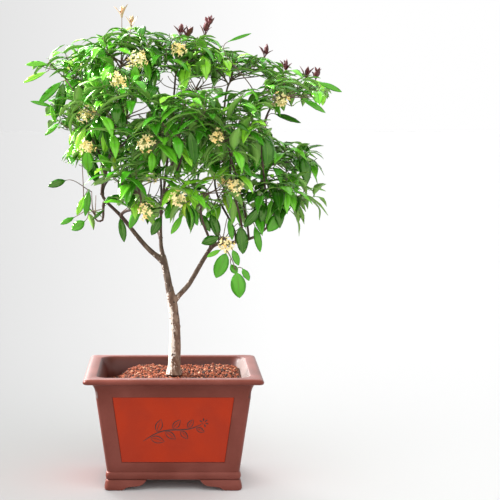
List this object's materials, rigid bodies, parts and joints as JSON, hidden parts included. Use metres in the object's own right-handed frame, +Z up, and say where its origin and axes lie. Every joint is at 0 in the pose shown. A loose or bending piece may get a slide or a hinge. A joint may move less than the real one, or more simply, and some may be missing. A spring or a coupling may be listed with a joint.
{
  "type": "potted sweet osmanthus shrub",
  "caption": "Small standard osmanthus tree with a leafy, flowering head on forked stems, in a rectangular footed clay pot with inlaid panels.",
  "frame": {"origin": "on the ground under the middle of the pot", "axes": "+Z up, +X to the right along the pot's long side, -Y to the front"},
  "size_m": [0.5638, 0.5011, 0.8879],
  "materials": {
    "purple_clay": "unglazed, matt",
    "red_clay": "unglazed, matt",
    "soil_grit": "loose grit",
    "bark": "smooth bark",
    "foliage": "glossy leaves"
  },
  "bodies": {
    "root": {"bough_back": "bark", "bough_back_left": "bark", "bough_back_right": "bark", "bough_front": "bark", "bough_front_left": "bark", "bough_front_right": "bark", "bough_hanging": "bark", "bough_left": "bark", "bough_low_back": "bark", "bough_low_back_right": "bark", "bough_low_front_left": "bark", "bough_low_front_right": "bark", "bough_low_left": "bark", "bough_middle": "bark", "bough_right": "bark", "bough_top_back_left": "bark", "bough_top_back_right": "bark", "bough_top_left": "bark", "bough_top_middle_right": "bark", "bough_top_right": "bark", "foot_back_left": "purple_clay", "foot_back_right": "purple_clay", "foot_front_left": "purple_clay", "foot_front_right": "purple_clay", "leaves_back": "foliage", "leaves_back_left": "foliage", "leaves_back_right": "foliage", "leaves_front": "foliage", "leaves_front_left": "foliage", "leaves_front_right": "foliage", "leaves_hanging": "foliage", "leaves_left": "foliage", "leaves_low_back": "foliage", "leaves_low_back_right": "foliage", "leaves_low_front_left": "foliage", "leaves_low_front_right": "foliage", "leaves_low_left": "foliage", "leaves_low_right": "foliage", "leaves_middle": "foliage", "leaves_right": "foliage", "leaves_top_back_left": "foliage", "leaves_top_back_right": "foliage", "leaves_top_left": "foliage", "leaves_top_middle": "foliage", "leaves_top_middle_left": "foliage", "leaves_top_middle_right": "foliage", "leaves_top_right": "foliage", "main_bough_centre": "bark", "main_bough_left": "bark", "main_bough_right": "bark", "panel_back": "red_clay", "panel_front": "red_clay", "panel_left": "red_clay", "panel_right": "red_clay", "pot_body": "purple_clay", "soil": "soil_grit", "trunk": "bark"}
  },
  "joints": []
}
